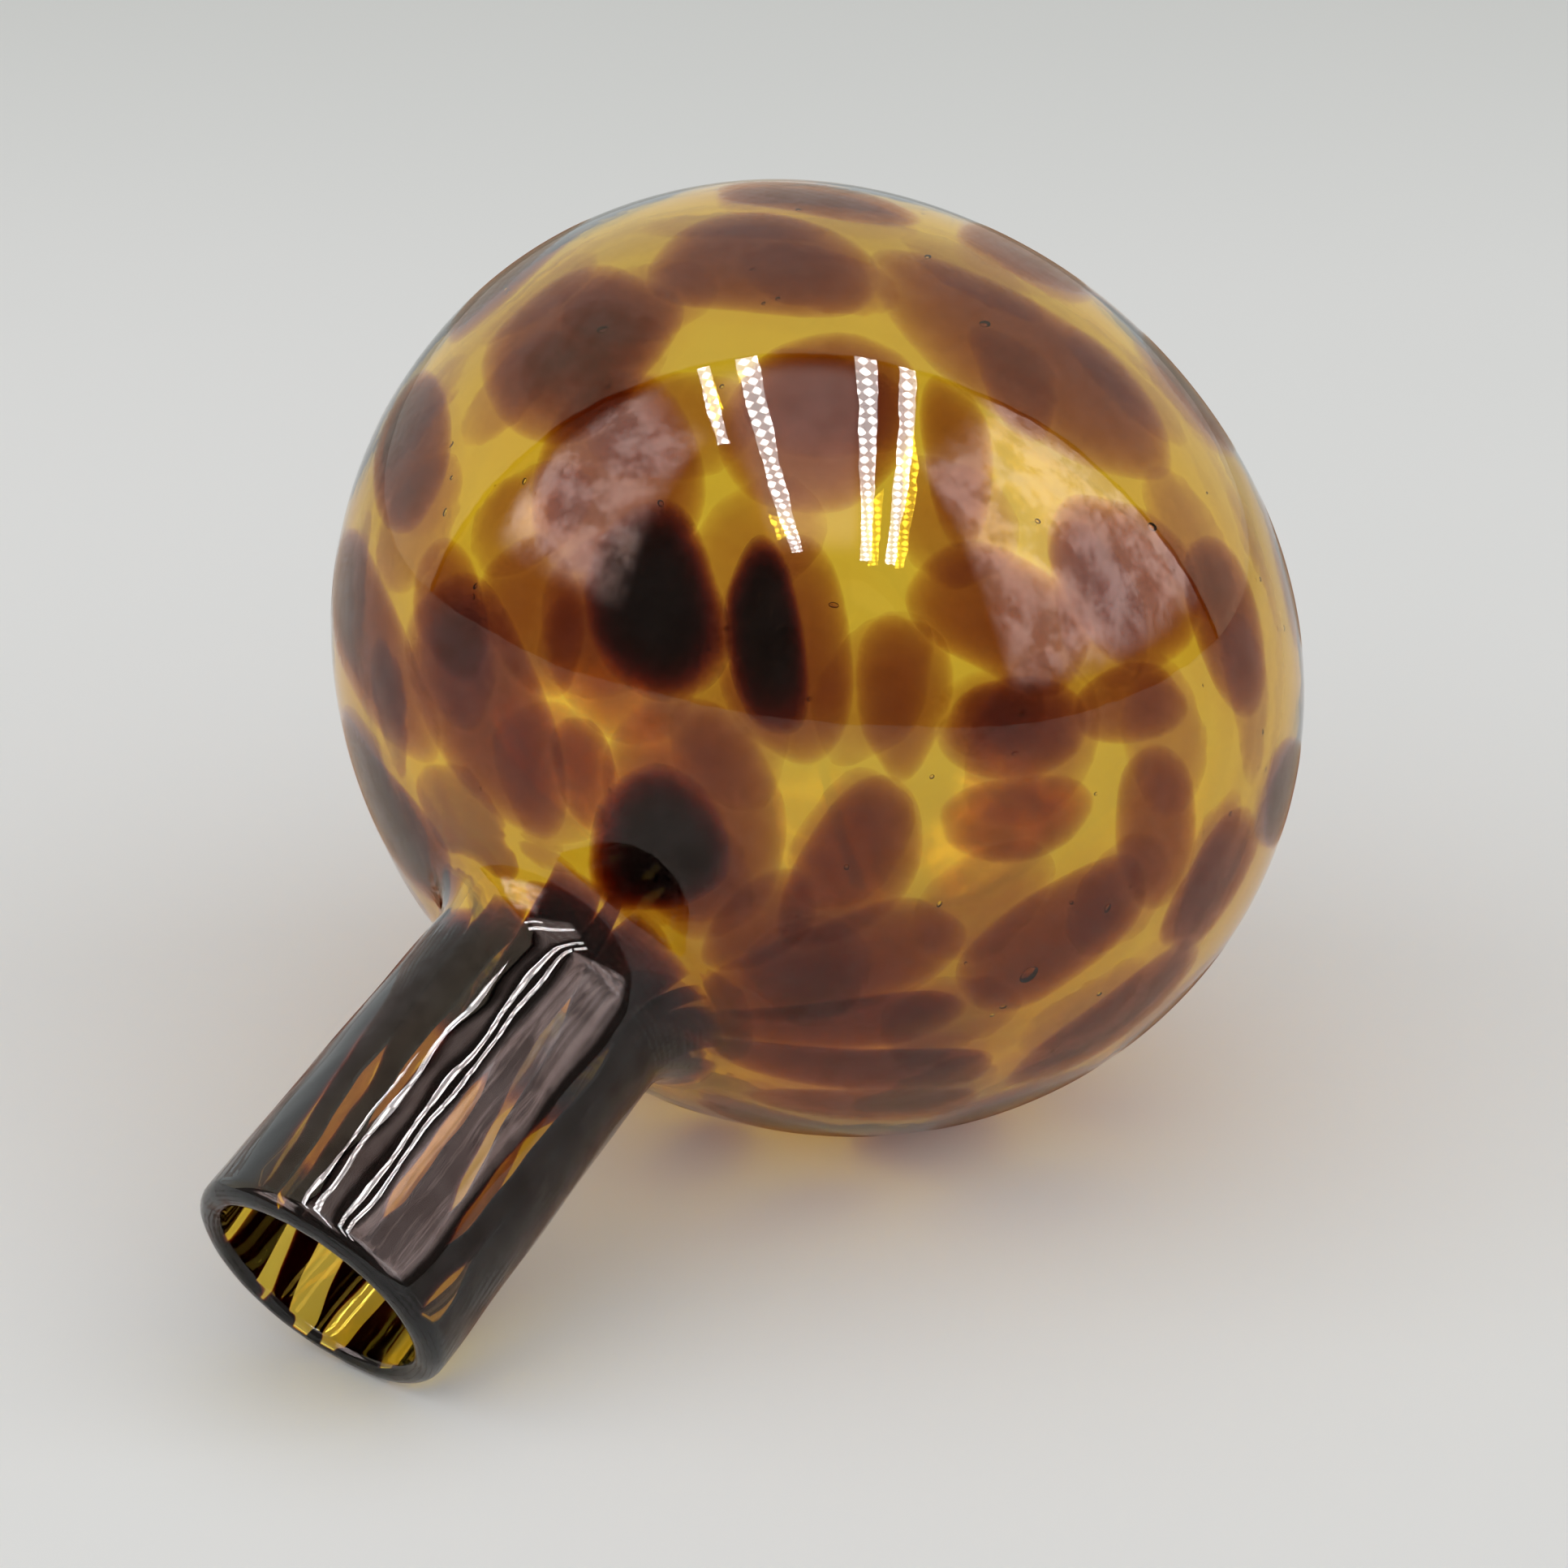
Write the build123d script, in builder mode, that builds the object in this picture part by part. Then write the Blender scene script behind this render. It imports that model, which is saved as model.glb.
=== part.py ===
from build123d import *
from math import asin, atan2, cos, degrees, hypot, radians, sin
import os

# A hand-blown round flask of amber glass, with chips of brown glass melted flush into its outside.
# It lies on its side as it rests on a table: the bulb and the lower edge of the lip touch the floor.
# Frame: +Z up, the neck points to -Y and down, the origin is under the middle of the whole flask.
# Every form of revolution is drawn in its own half section: x runs along the flask's axis from the
# bulb's centre towards the mouth, and y is the radius.

# driving dimensions, mm
bulb_radius = 60.0
front_depth = 55.0
back_depth = 52.6
front_shoulder_radius = 52.0
back_shoulder_radius = 48.0
mouth_station = 101.4
neck_root_radius = 15.4
neck_mouth_radius = 16.2
bore_radius = 12.6
bulb_wall = 2.6
chip_depth = 1.2
root_fillet = 7.0
lip_outer_rounding = 2.0
lip_inner_rounding = 1.4
chip_reach = 6.0

# the caps at the two ends of the bulb are spheres that meet the fuller shoulders in a tangent


def cap_radius(depth, shoulder_radius):
    """Radius of the end cap that is tangent to the shoulder arc and reaches `depth` on the axis."""
    shoulder_centre = bulb_radius - shoulder_radius
    return (depth**2 + shoulder_centre**2 - shoulder_radius**2) / (2 * (depth - shoulder_radius))


front_cap_radius = cap_radius(front_depth, front_shoulder_radius)
back_cap_radius = cap_radius(back_depth, back_shoulder_radius)
front_cap_centre = front_depth - front_cap_radius
back_cap_centre = back_cap_radius - back_depth
front_shoulder_centre = bulb_radius - front_shoulder_radius
back_shoulder_centre = bulb_radius - back_shoulder_radius
# where cap and shoulder meet, as the angle of the surface's normal from the axis
front_cap_angle = degrees(atan2(front_shoulder_centre, -front_cap_centre))
back_cap_angle = degrees(atan2(back_shoulder_centre, back_cap_centre))

# the tilt that lets the bulb and the lip touch the floor together
lip_reach = mouth_station - lip_outer_rounding
lip_rise = neck_mouth_radius - lip_outer_rounding
rise_difference = lip_rise - front_shoulder_centre
height_difference = front_shoulder_radius - lip_outer_rounding
tilt = asin(height_difference / hypot(lip_reach, rise_difference)) - atan2(rise_difference, lip_reach)

# the bulb's centre stands over the floor, and the whole flask is centred on the origin
centre_height = front_shoulder_centre * cos(tilt) + front_shoulder_radius
back_extent = back_cap_radius - back_cap_centre * cos(tilt)
front_extent = lip_reach * cos(tilt) + lip_rise * sin(tilt) + lip_outer_rounding
centre_y = (front_extent - back_extent) / 2
bulb_centre = Vector(0, centre_y, centre_height)
to_mouth = Vector(0, -cos(tilt), -sin(tilt))
flask_plane = Plane(origin=bulb_centre, x_dir=to_mouth, z_dir=(-1, 0, 0))
flask_axis = Axis(bulb_centre, to_mouth)


def half_section(inset, root_radius, mouth_radius):
    """The flask's half section, drawn `inset` inside the bulb's outer surface."""
    front_cap = front_cap_radius - inset
    root_angle = degrees(asin(root_radius / front_cap))
    root_station = front_cap_centre + front_cap * cos(radians(root_angle))
    with BuildSketch() as half:
        with BuildLine():
            CenterArc((back_cap_centre, 0), back_cap_radius - inset, 180, -back_cap_angle)
            back_shoulder = back_shoulder_radius - inset
            CenterArc((0, back_shoulder_centre), back_shoulder, 180 - back_cap_angle, back_cap_angle - 90)
            front_shoulder = front_shoulder_radius - inset
            CenterArc((0, front_shoulder_centre), front_shoulder, 90, front_cap_angle - 90)
            CenterArc((front_cap_centre, 0), front_cap, front_cap_angle, root_angle - front_cap_angle)
            Polyline(
                (root_station, root_radius),
                (mouth_station, mouth_radius),
                (mouth_station, 0),
                (inset - back_depth, 0),
            )
        make_face()
        root = Vertex(root_station, root_radius, 0)
        fillet(half.vertices().sort_by_distance(root)[0], root_fillet + inset)
    return half.sketch


def on_bulb(colatitude, longitude):
    """Plane on the bulb's outside. Colatitude is the normal's angle from the mouth, longitude is 0 on top."""
    lean = radians(colatitude)
    if colatitude < front_cap_angle:
        centre, radius, rise = front_cap_centre, front_cap_radius, 0
    elif colatitude < 90:
        centre, radius, rise = 0, front_shoulder_radius, front_shoulder_centre
    elif colatitude < 180 - back_cap_angle:
        centre, radius, rise = 0, back_shoulder_radius, back_shoulder_centre
    else:
        centre, radius, rise = back_cap_centre, back_cap_radius, 0
    station = centre + radius * cos(lean)
    distance = rise + radius * sin(lean)
    return surface_plane(station, distance, lean, radians(longitude))


def neck_radius(station):
    """Outside radius of the neck, at a station along the axis from the bulb's centre."""
    share = (station - front_depth) / (mouth_station - front_depth)
    return neck_root_radius + share * (neck_mouth_radius - neck_root_radius)


def on_neck(station, longitude):
    """Plane on the neck's outside."""
    return surface_plane(station, neck_radius(station), radians(90), radians(longitude))


def surface_plane(station, distance, lean, turn):
    """Plane with z along the surface's normal and x along the meridian, away from the mouth."""
    up = flask_plane.y_dir
    side = Vector(1, 0, 0)
    outwards = up * cos(turn) + side * sin(turn)
    origin = bulb_centre + to_mouth * station + outwards * distance
    normal = to_mouth * cos(lean) + outwards * sin(lean)
    along = to_mouth * -sin(lean) + outwards * cos(lean)
    return Plane(origin=origin, x_dir=along, z_dir=normal)


# chips of brown glass on the bulb: colatitude, longitude, length, width, and the turn of the length
# from the meridian towards greater longitude. Near the neck they are drawn out into long drops.
chips = {
    "shoulder_chip": [
        (26, -64, 30, 12, -20),
        (43, -42, 30, 12, -40),
        (29, -5, 24, 11, -28),
        (29, 36, 23, 18, -30),
        (32, 83, 26, 8, -4),
        (32, 104, 28, 9, -4),
        (34, 126, 28, 9, -12),
    ],
    "front_chip": [
        (48, 19, 20, 15, -50),
        (58, 39, 22, 13, -40),
        (43, 64, 20, 11, -30),
        (57, 91, 23, 15, -12),
        (64, 114, 24, 14, -22),
        (75, 51, 16, 9, 62),
        (66, -36, 23, 14, -50),
        (52, -15, 15, 11, -60),
        (61, 2, 14, 10, -80),
        (66, 66, 14, 9, 45),
    ],
    "girth_chip": [
        (97, 8, 26, 17, 82),
        (78, -9, 25, 20, 110),
        (79, 24, 19, 16, 0),
        (108, 40, 35, 17, 93),
        (90, 60, 17, 14, 80),
        (101, 79, 18, 12, -75),
        (83, 101, 14, 9, -45),
        (102, 104, 18, 11, 55),
        (95, -30, 20, 12, 15),
        (80, 84, 16, 13, 80),
        (117, 3, 22, 12, 82),
    ],
}
# small chips in the gaps, all in one node: colatitude, longitude, length, width, turn
small_chips = [
    (61, 54, 13, 8, -40),
    (60, 74, 10, 7, 20),
    (92, 36, 10, 6, -80),
    (80, 70, 10, 7, 40),
    (37, 53, 9, 5, -30),
    (41, 5, 10, 6, -50),
]
# rows of like chips round the rest of the bulb, a node for each row:
# colatitude, first longitude, last longitude, count, mean length, mean width, most turn
chip_rows = {
    "shoulder_row_chips": (34, 156, 262, 5, 23, 10, 12),
    "right_underside_chips": (59, 138, 160, 2, 22, 16, 30),
    "left_underside_chips": (60, 202, 294, 5, 18, 16, 30),
    "girth_row_chips": (83, 128, 305, 9, 18, 17, 30),
    "outer_back_chips": (107, 133, 314, 9, 19, 15, 30),
    "middle_back_chips": (132, 28, 332, 11, 20, 15, 30),
    "inner_back_chips": (154, 10, 317, 7, 20, 17, 30),
    "back_pole_chip": (177, 0, 0, 1, 16, 13, 0),
}
# how far the chips of a row stray: each chip's share of the most is the sine or cosine of its number
# in the row times a beat, in radians, so that no two neighbours are alike
row_wander = 2.5
row_size_spread = 0.1
wander_beat = 1.9
length_beat = 2.4
width_beat = 1.7
turn_beat = 2.1

# brown streaks round the neck, drawn out of chips, with a thin line of amber between them
streak_middle = 79.0
streak_length = 37.0
streak_end_radius = 1.2
streak_turn = 8.0
amber_line_width = 1.8
# longitudes of the amber lines at the middle of the streaks
amber_lines = [-25, -1, 15, 41, 57, 73, 94, 128, 166, 204, 244, 288]


def places_in_row(colatitude, first, last, count, length, width, most_turn):
    """The chips of a row, evenly spaced, each a little off in place, size and turn."""
    step = (last - first) / max(count - 1, 1)
    return [
        (
            colatitude + row_wander * sin(wander_beat * number),
            first + step * number,
            length * (1 + row_size_spread * cos(length_beat * number)),
            width * (1 + row_size_spread * sin(width_beat * number)),
            most_turn * sin(turn_beat * number),
        )
        for number in range(count)
    ]


os.makedirs("parts", exist_ok=True)

# the outermost layer of the wall, which the brown glass is pressed into
with BuildPart() as chip_layer:
    with BuildSketch(flask_plane):
        add(half_section(0, neck_root_radius, neck_mouth_radius))
        add(
            half_section(chip_depth, neck_root_radius - chip_depth, neck_mouth_radius - chip_depth),
            mode=Mode.SUBTRACT,
        )
    revolve(axis=flask_axis)

# every node of brown glass, by its name, with the chips that it holds
chip_nodes = {
    f"{zone}_{number}": [place]
    for zone, places in chips.items()
    for number, place in enumerate(places, start=1)
}
chip_nodes["small_chips"] = small_chips
for row_name, row in chip_rows.items():
    chip_nodes[row_name] = places_in_row(*row)

brown_glass = []

for node_name, places in chip_nodes.items():
    with BuildPart() as chip:
        for colatitude, longitude, length, width, turn in places:
            with BuildSketch(on_bulb(colatitude, longitude)):
                Ellipse(length / 2, width / 2, rotation=-turn)
            extrude(amount=chip_reach, both=True)
        add(chip_layer.part, mode=Mode.INTERSECT)
    chip.part.label = node_name
    brown_glass.append(chip.part)

for number, first_line in enumerate(amber_lines, start=1):
    next_line = amber_lines[number] if number < len(amber_lines) else amber_lines[0] + 360
    streak_width = radians(next_line - first_line) * neck_radius(streak_middle) - amber_line_width
    with BuildPart() as streak:
        with BuildSketch(on_neck(streak_middle, (first_line + next_line) / 2)):
            RectangleRounded(streak_length, streak_width, streak_end_radius, rotation=streak_turn)
        extrude(amount=chip_reach, both=True)
        add(chip_layer.part, mode=Mode.INTERSECT)
    streak.part.label = f"neck_streak_{number}"
    brown_glass.append(streak.part)

# the amber flask itself: bulb, neck and lip are one continuous piece of glass
with BuildSketch() as wall:
    add(half_section(0, neck_root_radius, neck_mouth_radius))
    add(half_section(bulb_wall, bore_radius, bore_radius), mode=Mode.SUBTRACT)
    inner_lip = Vertex(mouth_station, bore_radius, 0)
    fillet(wall.vertices().sort_by_distance(inner_lip)[0], lip_inner_rounding)
    outer_lip = Vertex(mouth_station, neck_mouth_radius, 0)
    fillet(wall.vertices().sort_by_distance(outer_lip)[0], lip_outer_rounding)

with BuildPart() as flask:
    with BuildSketch(flask_plane):
        add(wall.sketch)
    revolve(axis=flask_axis)
    for piece in brown_glass:
        add(piece, mode=Mode.SUBTRACT)
flask.part.label = "amber_flask"

for piece in (flask.part, *brown_glass):
    export_step(piece, f"parts/{piece.label}.step")
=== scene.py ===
import math

import bpy
import numpy as np
from mathutils import Matrix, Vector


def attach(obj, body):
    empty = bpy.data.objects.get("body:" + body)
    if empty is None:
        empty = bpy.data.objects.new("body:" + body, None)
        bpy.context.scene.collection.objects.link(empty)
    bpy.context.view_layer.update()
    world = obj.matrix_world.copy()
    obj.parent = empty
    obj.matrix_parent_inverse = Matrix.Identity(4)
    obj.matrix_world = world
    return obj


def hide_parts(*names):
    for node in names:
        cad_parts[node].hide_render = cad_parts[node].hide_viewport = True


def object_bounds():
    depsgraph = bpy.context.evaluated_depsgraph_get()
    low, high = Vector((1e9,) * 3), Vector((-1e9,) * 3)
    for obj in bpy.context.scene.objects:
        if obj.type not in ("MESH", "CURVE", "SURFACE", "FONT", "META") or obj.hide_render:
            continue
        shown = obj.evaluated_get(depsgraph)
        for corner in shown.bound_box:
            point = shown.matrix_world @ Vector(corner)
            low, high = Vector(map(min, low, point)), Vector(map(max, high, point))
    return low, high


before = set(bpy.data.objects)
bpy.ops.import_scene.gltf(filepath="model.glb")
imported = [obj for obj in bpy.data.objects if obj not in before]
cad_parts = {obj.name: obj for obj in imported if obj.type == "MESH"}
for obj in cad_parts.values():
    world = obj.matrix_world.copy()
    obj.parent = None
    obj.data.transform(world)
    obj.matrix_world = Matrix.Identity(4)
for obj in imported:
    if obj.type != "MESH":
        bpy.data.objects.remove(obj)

CAD_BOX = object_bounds()
scene = bpy.context.scene

# ---------------------------------------------------------------------------
# the flask's own measures, in millimetres, as in the CAD
# ---------------------------------------------------------------------------
BULB_RADIUS = 60.0
FRONT_DEPTH = 55.0
BACK_DEPTH = 52.6
FRONT_SHOULDER = 52.0
BACK_SHOULDER = 48.0
MOUTH = 101.4
NECK_ROOT = 15.4
NECK_MOUTH = 16.2
BORE = 12.6
WALL = 2.6
ROOT_FILLET = 7.0
LIP_OUTER = 2.0
LIP_INNER = 1.4
MM = 0.001


def cap_radius(depth, shoulder):
    rise = BULB_RADIUS - shoulder
    return (depth**2 + rise**2 - shoulder**2) / (2 * (depth - shoulder))


FRONT_CAP = cap_radius(FRONT_DEPTH, FRONT_SHOULDER)
BACK_CAP = cap_radius(BACK_DEPTH, BACK_SHOULDER)
FRONT_CENTRE = FRONT_DEPTH - FRONT_CAP
BACK_CENTRE = BACK_CAP - BACK_DEPTH
FRONT_RISE = BULB_RADIUS - FRONT_SHOULDER
BACK_RISE = BULB_RADIUS - BACK_SHOULDER
FRONT_JOIN = math.atan2(FRONT_RISE, -FRONT_CENTRE)
BACK_JOIN = math.pi - math.atan2(BACK_RISE, BACK_CENTRE)

LIP_STATION = MOUTH - LIP_OUTER
LIP_RADIUS = NECK_MOUTH - LIP_OUTER
# the flask rests on the bulb and on the lip, and that gives the tilt of its axis
LIP_ABOVE_RISE = LIP_RADIUS - FRONT_RISE
LIP_DISTANCE = math.hypot(LIP_STATION, LIP_ABOVE_RISE)
TILT = math.asin((FRONT_SHOULDER - LIP_OUTER) / LIP_DISTANCE) - math.atan2(LIP_ABOVE_RISE, LIP_STATION)
HEIGHT = FRONT_RISE * math.cos(TILT) + FRONT_SHOULDER
# the bulb's centre in the frame: its height is the CAD's, and its place along Y comes from the CAD box
back_extent = BACK_CAP - BACK_CENTRE * math.cos(TILT)
CENTRE = np.array([0.0, CAD_BOX[1][1] / MM - back_extent, HEIGHT])
TO_MOUTH = np.array([0.0, -math.cos(TILT), -math.sin(TILT)])
UPWARDS = np.array([0.0, -math.sin(TILT), math.cos(TILT)])
SIDE = np.array([1.0, 0.0, 0.0])

rng = np.random.default_rng(38)

# ---------------------------------------------------------------------------
# the profile: station along the axis, radius, and the angle of the outward normal from the axis
# ---------------------------------------------------------------------------


def arc(centre, radius, start, end, step, concave=False):
    count = max(4, int(math.ceil(abs(end - start) * radius / step)))
    angle = np.linspace(start, end, count + 1)
    station = centre[0] + radius * np.cos(angle)
    distance = centre[1] + radius * np.sin(angle)
    normal = angle + math.pi if concave else angle
    return np.column_stack([station, distance, np.cos(normal), np.sin(normal)])


def straight(a, b, normal, step):
    count = max(2, int(math.ceil(math.dist(a, b) / step)))
    share = np.linspace(0, 1, count + 1)[:, None]
    points = np.array(a)[None] * (1 - share) + np.array(b)[None] * share
    return np.column_stack([points, np.repeat([normal], count + 1, axis=0)])


def side_of_flask(inset, root_radius, mouth_radius, end_station, step):
    """From the back pole to the mouth end of the neck line."""
    cap = FRONT_CAP - inset
    root = np.array([FRONT_CENTRE + math.sqrt(cap**2 - root_radius**2), root_radius])
    mouth = np.array([MOUTH, mouth_radius])
    along = (mouth - root) / np.linalg.norm(mouth - root)
    out = np.array([-along[1], along[0]])
    fillet = ROOT_FILLET + inset
    # the fillet's centre is one fillet radius off the neck line and off the cap
    start = root + out * fillet - np.array([FRONT_CENTRE, 0])
    b = start @ along
    t = -b + math.sqrt(b * b - start @ start + (cap + fillet) ** 2)
    centre = root + out * fillet + along * t
    cap_end = math.atan2(centre[1], centre[0] - FRONT_CENTRE)
    line_angle = math.atan2(-out[1], -out[0]) + 2 * math.pi
    end = root + along * ((end_station - root[0]) / along[0])
    return np.vstack(
        [
            arc((BACK_CENTRE, 0), BACK_CAP - inset, math.pi, BACK_JOIN, step),
            arc((0, BACK_RISE), BACK_SHOULDER - inset, BACK_JOIN, math.pi / 2, step)[1:],
            arc((0, FRONT_RISE), FRONT_SHOULDER - inset, math.pi / 2, FRONT_JOIN, step)[1:],
            arc((FRONT_CENTRE, 0), cap, FRONT_JOIN, cap_end, step)[1:],
            arc(centre, fillet, cap_end + math.pi, line_angle, step * 0.6, True)[1:],
            straight(centre - out * fillet, end, out, step)[1:],
        ]
    )


def outer_profile(step):
    """The outside from the back pole over the lip to the mouth's flat face."""
    slope = math.atan2(
        NECK_MOUTH - NECK_ROOT, MOUTH - FRONT_CENTRE - math.sqrt(FRONT_CAP**2 - NECK_ROOT**2)
    )
    lip_centre_radius = NECK_MOUTH - LIP_OUTER * math.tan(slope) - LIP_OUTER / math.cos(slope)
    end_station = LIP_STATION - LIP_OUTER * math.sin(slope)
    side = side_of_flask(0, NECK_ROOT, NECK_MOUTH, end_station, step)
    lip = arc((LIP_STATION, lip_centre_radius), LIP_OUTER, math.pi / 2 + slope, 0, min(step, 0.35))
    inner = arc((MOUTH - LIP_INNER, BORE + LIP_INNER), LIP_INNER, 0, -math.pi / 2, min(step, 0.35))
    return side, np.vstack([lip[1:], inner])


# a dense copy of the outside, for placing the brown glass by arc length
dense_side, dense_lip = outer_profile(0.1)
dense = np.vstack([dense_side, dense_lip])
dense_s = np.concatenate([[0], np.cumsum(np.hypot(*np.diff(dense[:, :2], axis=0).T))])
# the bulb's part of it, where the normal's angle grows steadily from the neck's root to the back pole
dense_angle = np.arctan2(dense[:, 3], dense[:, 2])
last_cap = int(np.argmin(np.where(dense[:, 0] < FRONT_DEPTH, dense_angle, 9)))
CAP_END_ANGLE = dense_angle[last_cap]
CAP_END_S = dense_s[last_cap]


def s_of_angle(angle):
    on_bulb = np.interp(-angle, -dense_angle[: last_cap + 1], dense_s[: last_cap + 1])
    beyond = CAP_END_S + (CAP_END_ANGLE - angle) * FRONT_CAP
    return np.where(angle >= CAP_END_ANGLE, on_bulb, beyond)


def s_of_station(station):
    neck = dense_s > CAP_END_S
    return np.interp(station, dense[neck, 0], dense_s[neck])


def ripple(points, waves):
    """0 to 1: how far the hand-worked surface dips below its true form at each point."""
    total = np.zeros(len(points))
    for vector, phase, weight in waves:
        total += weight * np.sin(points @ vector + phase)
    return 0.5 + 0.5 * np.clip(total / sum(w for _, _, w in waves) * 1.6, -1, 1)


def waves_of(lengths, stretch):
    found = []
    for length in lengths:
        direction = rng.normal(size=3)
        direction /= np.linalg.norm(direction)
        # waves along the axis are longer, because the glass was drawn that way
        along = direction @ TO_MOUTH
        direction = direction - TO_MOUTH * along * (1 - 1 / stretch)
        found.append((direction * 2 * math.pi / length, rng.uniform(0, 2 * math.pi), length**0.8))
    return found


BULB_WAVES = waves_of([17, 21, 24, 29, 35, 44, 52], 1.0)
NECK_WAVES = waves_of([3, 4, 5, 6, 7, 8, 9, 11, 13, 16, 20], 1.2)
INNER_WAVES = waves_of([14, 18, 22, 27, 33, 41], 1.3)
# how far the outside lies under the CAD's surface, and how much further its dips go
SINK = 0.03
BULB_DIP = 0.10
NECK_DIP = 0.20
INNER_DIP = 0.22
# stations between which the bulb's slow waves turn into the neck's quicker ones
WAVES_MEET = (50, 58)
# how far the brown glass stands over the amber glass, and its least depth under the amber's surface
PROUD = 0.012
SKIN = 0.02


def place(station, radius, longitude):
    outwards = UPWARDS * np.cos(longitude)[..., None] + SIDE * np.sin(longitude)[..., None]
    return CENTRE + TO_MOUTH * station[..., None] + outwards * radius[..., None]


def direction(axial, radial, longitude):
    outwards = UPWARDS * np.cos(longitude)[..., None] + SIDE * np.sin(longitude)[..., None]
    return TO_MOUTH * axial[..., None] + outwards * radial[..., None]


def dips(points, station):
    """How far the outside lies under the CAD's surface, in millimetres."""
    on_neck = np.clip((station - WAVES_MEET[0]) / (WAVES_MEET[1] - WAVES_MEET[0]), 0, 1)
    bulb = BULB_DIP * ripple(points, BULB_WAVES)
    neck = NECK_DIP * ripple(points, NECK_WAVES)
    return bulb * (1 - on_neck) + neck * on_neck


def on_surface(s, longitude, depth):
    """Points at arc length s and longitude, `depth` below the glass's own outside."""
    station = np.interp(s, dense_s, dense[:, 0])
    radius = np.interp(s, dense_s, dense[:, 1])
    axial = np.interp(s, dense_s, dense[:, 2])
    radial = np.interp(s, dense_s, dense[:, 3])
    points = place(station, radius, longitude)
    normals = direction(axial, radial, longitude)
    shape = points.shape
    under = dips(points.reshape(-1, 3), station.reshape(-1)).reshape(shape[:-1])
    return points - normals * (under + SINK + depth)[..., None]


# ---------------------------------------------------------------------------
# meshes
# ---------------------------------------------------------------------------


def mesh_object(name, vertices, faces):
    mesh = bpy.data.meshes.new(name)
    mesh.from_pydata([tuple(v) for v in np.asarray(vertices) * MM], [], faces)
    mesh.update()
    mesh.shade_smooth()
    piece = bpy.data.objects.new(name, mesh)
    scene.collection.objects.link(piece)
    return piece


def signed_volume(vertices, faces):
    total = 0.0
    for face in faces:
        a = vertices[face[0]]
        for j in range(1, len(face) - 1):
            total += np.dot(a, np.cross(vertices[face[j]], vertices[face[j + 1]]))
    return total / 6


# chips of brown glass: colatitude, longitude, length, width and turn, in degrees and millimetres; they are
# the CAD's, some of them moved, turned or stretched a little to follow the photo
CHIPS = {
    "shoulder_chip": [
        (27, -68, 32, 17, -20),
        (43, -43, 33, 15, -40),
        (32, -8, 29, 17, -34),
        (31, 42, 25, 18, -38),
        (32, 82, 29, 12, -4),
        (30, 97, 27, 8, 0),
        (32, 113, 31, 9, 2),
    ],
    "front_chip": [
        (45, 17, 21, 19, -37),
        (53, 37, 23, 14, -42),
        (40, 65, 24, 12, -22),
        (57, 91, 24, 15, -12),
        (64, 114, 26, 15, -22),
        (73, 53, 21, 13, 73),
        (65, -31, 26, 15, -42),
        (42, -15, 15, 11, -44),
        (62, 7, 22, 20, -28),
        (65, 63, 16, 11, 41),
    ],
    "girth_chip": [
        (97, 8, 26, 18, 82),
        (77, -7, 26, 22, 104),
        (79, 25, 22, 19, 0),
        (105, 38, 38, 20, 88),
        (89, 61, 21, 17, 80),
        (99, 75, 21, 13, -72),
        (81, 100, 18, 15, -30),
        (102, 104, 19, 13, 55),
        (95, -30, 22, 13, 15),
        (74, 86, 21, 11, -82),
        (117, 3, 24, 13, 82),
    ],
}
SMALL_CHIPS = [
    (58, 51, 16, 9, -42),
    (59, 72, 16, 9, 33),
    (84, 39, 18, 7, -40),
    (79, 71, 14, 8, 40),
    (28, 66, 16, 8, -16),
    (43, 2, 15, 12, -35),
    (29, 18, 12, 7, -25),
    (35, 129, 27, 10, -12),
]
# darker places, where a second chip was picked up on the first: the node, and the chip
DOUBLE_CHIPS = {
    "front_chip_1": (50, 19, 21, 16, -37),
    "front_chip_2": (53, 34, 21, 8.5, -42),
    "shoulder_chip_4": (26, 38, 20, 15, 11),
    "girth_chip_2": (75, -3, 20, 16, 104),
    "front_chip_10": (64, 60, 12, 10, 41),
}
DEEPEST = ("front_chip_1", "front_chip_2", "shoulder_chip_4")
# chips on the sides that don't show: colatitude, first and last longitude, count, length, width, most turn
CHIP_ROWS = {
    "shoulder_row_chips": (34, 156, 262, 5, 23, 10, 12),
    "right_underside_chips": (59, 138, 160, 2, 22, 16, 30),
    "left_underside_chips": (60, 202, 294, 5, 18, 16, 30),
    "girth_row_chips": (83, 128, 305, 9, 18, 17, 30),
    "outer_back_chips": (107, 133, 314, 9, 19, 15, 30),
    "middle_back_chips": (132, 28, 332, 11, 20, 15, 30),
    "inner_back_chips": (154, 10, 317, 7, 20, 17, 30),
    "back_pole_chip": (177, 0, 0, 1, 16, 13, 0),
}


def places_in_row(colatitude, first, last, count, length, width, most_turn):
    step = (last - first) / max(count - 1, 1)
    return [
        (
            colatitude + 2.5 * math.sin(1.9 * k),
            first + step * k,
            length * (1 + 0.1 * math.cos(2.4 * k)),
            width * (1 + 0.1 * math.sin(1.7 * k)),
            most_turn * math.sin(2.1 * k),
        )
        for k in range(count)
    ]


chip_nodes = {
    f"{zone}_{k}": [chip] for zone, chips in CHIPS.items() for k, chip in enumerate(chips, start=1)
}
chip_nodes["small_chips"] = SMALL_CHIPS
for row, values in CHIP_ROWS.items():
    chip_nodes[row] = places_in_row(*values)


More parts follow.
